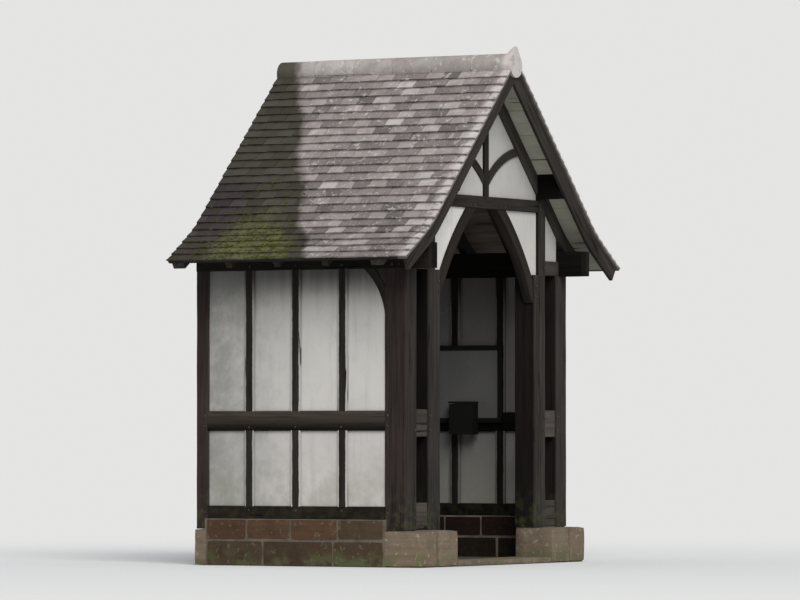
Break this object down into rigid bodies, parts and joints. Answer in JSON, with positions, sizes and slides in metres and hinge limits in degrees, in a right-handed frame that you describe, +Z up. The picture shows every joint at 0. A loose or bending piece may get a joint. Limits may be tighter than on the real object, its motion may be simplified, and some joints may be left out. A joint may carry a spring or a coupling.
{
  "type": "timber-framed church porch",
  "caption": "Half-timbered porch with an open pointed-arch front, plaster panels, stone plinth and a steep plain-tile roof with flared eaves.",
  "frame": {"origin": "middle of the bounding box at ground level, the underside of the stone plinth", "axes": "+Z up; the open arched gable faces -Y; the back stands against a wall at +Y; +X is to the right of someone facing the front"},
  "size_m": [3.91, 2.385, 4.5304],
  "materials": {
    "red_sandstone": "rough sawn",
    "buff_sandstone": "worn",
    "stone_flags": "worn",
    "dark_oak": "dark stained",
    "weathered_oak": "weathered",
    "roof_oak": "matt",
    "roof_board": "matt",
    "plaster": "lime washed",
    "clay_tile": "weathered, lichen",
    "ridge_clay": "weathered",
    "board_paint": "painted",
    "box_paint": "painted"
  },
  "bodies": {
    "root": {"plinth_left": "red_sandstone", "plinth_right": "red_sandstone", "plinth_front": "buff_sandstone", "plinth_rear": "buff_sandstone", "floor": "stone_flags", "threshold": "buff_sandstone", "sill_left": "dark_oak", "sill_right": "dark_oak", "end_sills": "weathered_oak", "post_front_left": "weathered_oak", "post_front_right": "weathered_oak", "door_post_left": "weathered_oak", "door_post_right": "weathered_oak", "rear_posts": "weathered_oak", "rail_left": "dark_oak", "rail_right": "dark_oak", "end_rails": "weathered_oak", "studs_left": "dark_oak", "studs_right": "dark_oak", "knee_brace_left": "dark_oak", "knee_brace_right": "dark_oak", "plate_left": "dark_oak", "plate_right": "dark_oak", "stub_ties": "weathered_oak", "panels_left": "plaster", "panels_right": "plaster", "arch_braces_front": "weathered_oak", "arch_braces_rear": "weathered_oak", "collars": "weathered_oak", "king_posts": "weathered_oak", "struts": "weathered_oak", "principals_front": "weathered_oak", "principals_rear": "weathered_oak", "gable_panels_front": "plaster", "gable_panels_rear": "plaster", "ridge_beam": "roof_oak", "rafters_left": "roof_oak", "rafters_right": "roof_oak", "purlin_ends": "dark_oak", "roof_boards_left": "roof_board", "roof_boards_right": "roof_board", "roof_tiles_left": "clay_tile", "roof_tiles_right": "clay_tile", "ridge_tiles": "ridge_clay", "barge_board_left": "weathered_oak", "barge_board_right": "weathered_oak", "notice_board": "board_paint", "wall_box": "box_paint"}
  },
  "joints": []
}
